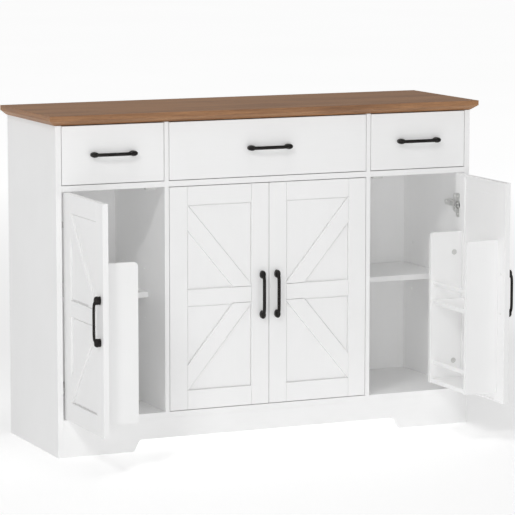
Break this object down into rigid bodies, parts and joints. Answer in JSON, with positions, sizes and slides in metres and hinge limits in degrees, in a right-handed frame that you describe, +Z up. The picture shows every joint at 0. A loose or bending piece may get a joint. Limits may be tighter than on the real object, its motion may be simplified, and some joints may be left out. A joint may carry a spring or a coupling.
{
  "type": "sideboard buffet",
  "caption": "Farmhouse sideboard buffet with drawers over framed doors, a wood slab top, shelves, and a storage rack on each outer door.",
  "frame": {"origin": "on the floor under the middle of the carcass, at the underside of the centre leg", "axes": "+X along the width to the right as seen from the front, +Y to the back, +Z up"},
  "size_m": [1.25, 0.652, 0.9],
  "materials": {
    "white_board": "satin white laminate on board",
    "wood_top": "brown wood-grain laminate, low sheen",
    "bronze": "oil-rubbed bronze, worn copper edges",
    "zinc_steel": "bright zinc-plated steel"
  },
  "bodies": {
    "carcass": {"tabletop": "wood_top", "side_panel_left": "white_board", "divider_left": "white_board", "side_panel_right": "white_board", "divider_right": "white_board", "bottom_panel": "white_board", "apron": "white_board", "back_panel": "white_board", "centre_leg": "white_board", "deck_left": "white_board", "shelf_left": "white_board", "deck_centre": "white_board", "shelf_centre": "white_board", "deck_right": "white_board", "shelf_right": "white_board", "runner_left_left": "zinc_steel", "runner_left_right": "zinc_steel", "runner_centre_left": "zinc_steel", "runner_centre_right": "zinc_steel", "runner_right_left": "zinc_steel", "runner_right_right": "zinc_steel", "hinge_arm_left_lower": "zinc_steel", "hinge_arm_left_upper": "zinc_steel", "hinge_arm_centre_left_lower": "zinc_steel", "hinge_arm_centre_left_upper": "zinc_steel", "hinge_arm_centre_right_lower": "zinc_steel", "hinge_arm_centre_right_upper": "zinc_steel", "hinge_arm_right_lower": "zinc_steel", "hinge_arm_right_upper": "zinc_steel"},
    "drawer_left": {"drawer_front_left": "white_board", "drawer_box_left": "white_board", "drawer_handle_left": "bronze"},
    "drawer_centre": {"drawer_front_centre": "white_board", "drawer_box_centre": "white_board", "drawer_handle_centre": "bronze"},
    "drawer_right": {"drawer_front_right": "white_board", "drawer_box_right": "white_board", "drawer_handle_right": "bronze"},
    "door_left": {"door_left": "white_board", "door_handle_left": "bronze", "rack_left_hinge_side": "white_board", "rack_left_free_side": "white_board", "rack_left_shelf_lower": "white_board", "rack_left_shelf_upper": "white_board", "rack_left_rod_lower": "white_board", "rack_left_rod_upper": "white_board"},
    "door_centre_left": {"door_centre_left": "white_board", "door_handle_centre_left": "bronze"},
    "door_centre_right": {"door_centre_right": "white_board", "door_handle_centre_right": "bronze"},
    "door_right": {"door_right": "white_board", "door_handle_right": "bronze", "rack_right_hinge_side": "white_board", "rack_right_free_side": "white_board", "rack_right_shelf_lower": "white_board", "rack_right_shelf_upper": "white_board", "rack_right_rod_lower": "white_board", "rack_right_rod_upper": "white_board"}
  },
  "joints": [
    {"name": "drawer_left_slide", "type": "slide", "parent": "carcass", "child": "drawer_left", "axis": [0, -1, 0], "range_m": [0, 0.25]},
    {"name": "drawer_centre_slide", "type": "slide", "parent": "carcass", "child": "drawer_centre", "axis": [0, -1, 0], "range_m": [0, 0.25]},
    {"name": "drawer_right_slide", "type": "slide", "parent": "carcass", "child": "drawer_right", "axis": [0, -1, 0], "range_m": [0, 0.25]},
    {"name": "door_left_hinge", "type": "hinge", "parent": "carcass", "child": "door_left", "pos_m": [-0.581, -0.1865, 0.402], "axis": [0, 0, -1], "range_deg": [-90, 15]},
    {"name": "door_centre_left_hinge", "type": "hinge", "parent": "carcass", "child": "door_centre_left", "pos_m": [-0.2805, -0.1865, 0.402], "axis": [0, 0, -1], "range_deg": [0, 105]},
    {"name": "door_centre_right_hinge", "type": "hinge", "parent": "carcass", "child": "door_centre_right", "pos_m": [0.2805, -0.1865, 0.402], "axis": [0, 0, 1], "range_deg": [0, 105]},
    {"name": "door_right_hinge", "type": "hinge", "parent": "carcass", "child": "door_right", "pos_m": [0.581, -0.1865, 0.402], "axis": [0, 0, 1], "range_deg": [-90, 15]}
  ]
}
